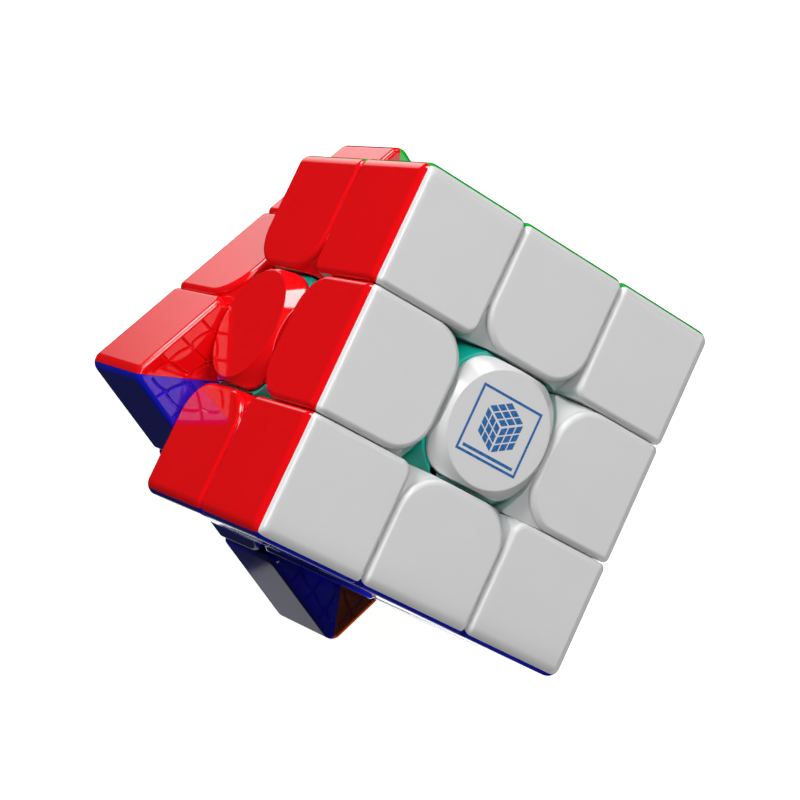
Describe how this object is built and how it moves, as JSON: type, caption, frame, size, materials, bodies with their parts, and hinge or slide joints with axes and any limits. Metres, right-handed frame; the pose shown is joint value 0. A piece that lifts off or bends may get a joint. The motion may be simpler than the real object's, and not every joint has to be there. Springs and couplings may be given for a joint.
{
  "type": "twisty puzzle cube",
  "caption": "Rounded stickerless puzzle cube with layers that turn about a core ball, shown standing on one face with the bottom layer part-turned.",
  "frame": {"origin": "centre of the core ball, which is the centre of the cube", "axes": "+Z out of the white face, -Z out of the yellow face that it stands on, +X out of the red face, +Y out of the blue face"},
  "size_m": [0.0726, 0.0726, 0.0564],
  "materials": {
    "white_plastic": "white ABS, moulded in colour and polished",
    "yellow_plastic": "yellow ABS, moulded in colour and polished",
    "red_plastic": "red ABS, moulded in colour and polished",
    "orange_plastic": "orange ABS, moulded in colour and polished",
    "green_plastic": "green ABS, moulded in colour and polished",
    "blue_plastic": "blue ABS, moulded in colour and polished",
    "inner_plastic": "turquoise moulded plastic of the mechanism, satin",
    "steel": "zinc-plated steel"
  },
  "bodies": {
    "core": {"core_ball": "inner_plastic", "red_green_edge_red_half": "red_plastic", "red_green_edge_green_half": "green_plastic", "red_blue_edge_red_half": "red_plastic", "red_blue_edge_blue_half": "blue_plastic", "orange_green_edge_orange_half": "orange_plastic", "orange_green_edge_green_half": "green_plastic", "orange_blue_edge_orange_half": "orange_plastic", "orange_blue_edge_blue_half": "blue_plastic"},
    "white_layer": {"white_red_green_corner": "white_plastic", "white_red_blue_corner": "white_plastic", "white_orange_green_corner": "white_plastic", "white_orange_blue_corner": "white_plastic", "white_red_edge_white_half": "white_plastic", "white_red_edge_red_half": "red_plastic", "white_orange_edge_white_half": "white_plastic", "white_orange_edge_orange_half": "orange_plastic", "white_green_edge_white_half": "white_plastic", "white_green_edge_green_half": "green_plastic", "white_blue_edge_white_half": "white_plastic", "white_blue_edge_blue_half": "blue_plastic"},
    "yellow_layer": {"yellow_red_green_corner": "yellow_plastic", "yellow_red_blue_corner": "yellow_plastic", "yellow_orange_green_corner": "yellow_plastic", "yellow_orange_blue_corner": "yellow_plastic", "yellow_red_edge_yellow_half": "yellow_plastic", "yellow_red_edge_red_half": "red_plastic", "yellow_orange_edge_yellow_half": "yellow_plastic", "yellow_orange_edge_orange_half": "orange_plastic", "yellow_green_edge_yellow_half": "yellow_plastic", "yellow_green_edge_green_half": "green_plastic", "yellow_blue_edge_yellow_half": "yellow_plastic", "yellow_blue_edge_blue_half": "blue_plastic"},
    "white_centre": {"white_centre_base": "inner_plastic", "white_tension_spring": "steel"},
    "white_cap": {"white_centre_cap": "white_plastic"},
    "white_screw": {"white_tension_screw": "steel"},
    "yellow_centre": {"yellow_centre_base": "inner_plastic", "yellow_tension_spring": "steel"},
    "yellow_cap": {"yellow_centre_cap": "yellow_plastic"},
    "yellow_screw": {"yellow_tension_screw": "steel"},
    "red_centre": {"red_centre_base": "inner_plastic", "red_tension_spring": "steel"},
    "red_cap": {"red_centre_cap": "red_plastic"},
    "red_screw": {"red_tension_screw": "steel"},
    "orange_centre": {"orange_centre_base": "inner_plastic", "orange_tension_spring": "steel"},
    "orange_cap": {"orange_centre_cap": "orange_plastic"},
    "orange_screw": {"orange_tension_screw": "steel"},
    "green_centre": {"green_centre_base": "inner_plastic", "green_tension_spring": "steel"},
    "green_cap": {"green_centre_cap": "green_plastic"},
    "green_screw": {"green_tension_screw": "steel"},
    "blue_centre": {"blue_centre_base": "inner_plastic", "blue_tension_spring": "steel"},
    "blue_cap": {"blue_centre_cap": "blue_plastic"},
    "blue_screw": {"blue_tension_screw": "steel"}
  },
  "joints": [
    {"name": "white_layer_turn", "type": "hinge", "parent": "core", "child": "white_layer", "pos_m": [0, 0, 0], "axis": [0, 0, 1], "continuous": true},
    {"name": "yellow_layer_turn", "type": "hinge", "parent": "core", "child": "yellow_layer", "pos_m": [0, 0, 0], "axis": [0, 0, -1], "continuous": true},
    {"name": "white_centre_lift", "type": "slide", "parent": "white_layer", "child": "white_centre", "axis": [0, 0, 1], "range_m": [0, 0.0008], "stiffness_N_per_m": 800, "springref_m": -0.003, "deforming": ["white_tension_spring"]},
    {"name": "yellow_centre_lift", "type": "slide", "parent": "yellow_layer", "child": "yellow_centre", "axis": [0, 0, -1], "range_m": [0, 0.0008], "stiffness_N_per_m": 800, "springref_m": -0.003, "deforming": ["yellow_tension_spring"]},
    {"name": "red_centre_lift", "type": "slide", "parent": "core", "child": "red_centre", "axis": [1, 0, 0], "range_m": [0, 0.0008], "stiffness_N_per_m": 800, "springref_m": -0.003, "deforming": ["red_tension_spring"]},
    {"name": "orange_centre_lift", "type": "slide", "parent": "core", "child": "orange_centre", "axis": [-1, 0, 0], "range_m": [0, 0.0008], "stiffness_N_per_m": 800, "springref_m": -0.003, "deforming": ["orange_tension_spring"]},
    {"name": "green_centre_lift", "type": "slide", "parent": "core", "child": "green_centre", "axis": [0, -1, 0], "range_m": [0, 0.0008], "stiffness_N_per_m": 800, "springref_m": -0.003, "deforming": ["green_tension_spring"]},
    {"name": "blue_centre_lift", "type": "slide", "parent": "core", "child": "blue_centre", "axis": [0, 1, 0], "range_m": [0, 0.0008], "stiffness_N_per_m": 800, "springref_m": -0.003, "deforming": ["blue_tension_spring"]},
    {"name": "white_cap_unclip", "type": "slide", "parent": "white_centre", "child": "white_cap", "axis": [0, 0, 1], "range_m": [0, 0.012]},
    {"name": "yellow_cap_unclip", "type": "slide", "parent": "yellow_centre", "child": "yellow_cap", "axis": [0, 0, -1], "range_m": [0, 0.012]},
    {"name": "red_cap_unclip", "type": "slide", "parent": "red_centre", "child": "red_cap", "axis": [1, 0, 0], "range_m": [0, 0.012]},
    {"name": "orange_cap_unclip", "type": "slide", "parent": "orange_centre", "child": "orange_cap", "axis": [-1, 0, 0], "range_m": [0, 0.012]},
    {"name": "green_cap_unclip", "type": "slide", "parent": "green_centre", "child": "green_cap", "axis": [0, -1, 0], "range_m": [0, 0.012]},
    {"name": "blue_cap_unclip", "type": "slide", "parent": "blue_centre", "child": "blue_cap", "axis": [0, 1, 0], "range_m": [0, 0.012]},
    {"name": "white_screw_adjust", "type": "hinge", "parent": "core", "child": "white_screw", "pos_m": [0, 0, 0.015], "axis": [0, 0, 1], "range_deg": [-180, 180]},
    {"name": "yellow_screw_adjust", "type": "hinge", "parent": "core", "child": "yellow_screw", "pos_m": [0, 0, -0.015], "axis": [0, 0, -1], "range_deg": [-180, 180]},
    {"name": "red_screw_adjust", "type": "hinge", "parent": "core", "child": "red_screw", "pos_m": [0.015, 0, 0], "axis": [1, 0, 0], "range_deg": [-180, 180]},
    {"name": "orange_screw_adjust", "type": "hinge", "parent": "core", "child": "orange_screw", "pos_m": [-0.015, 0, 0], "axis": [-1, 0, 0], "range_deg": [-180, 180]},
    {"name": "green_screw_adjust", "type": "hinge", "parent": "core", "child": "green_screw", "pos_m": [0, -0.015, 0], "axis": [0, -1, 0], "range_deg": [-180, 180]},
    {"name": "blue_screw_adjust", "type": "hinge", "parent": "core", "child": "blue_screw", "pos_m": [0, 0.015, 0], "axis": [0, 1, 0], "range_deg": [-180, 180]}
  ]
}
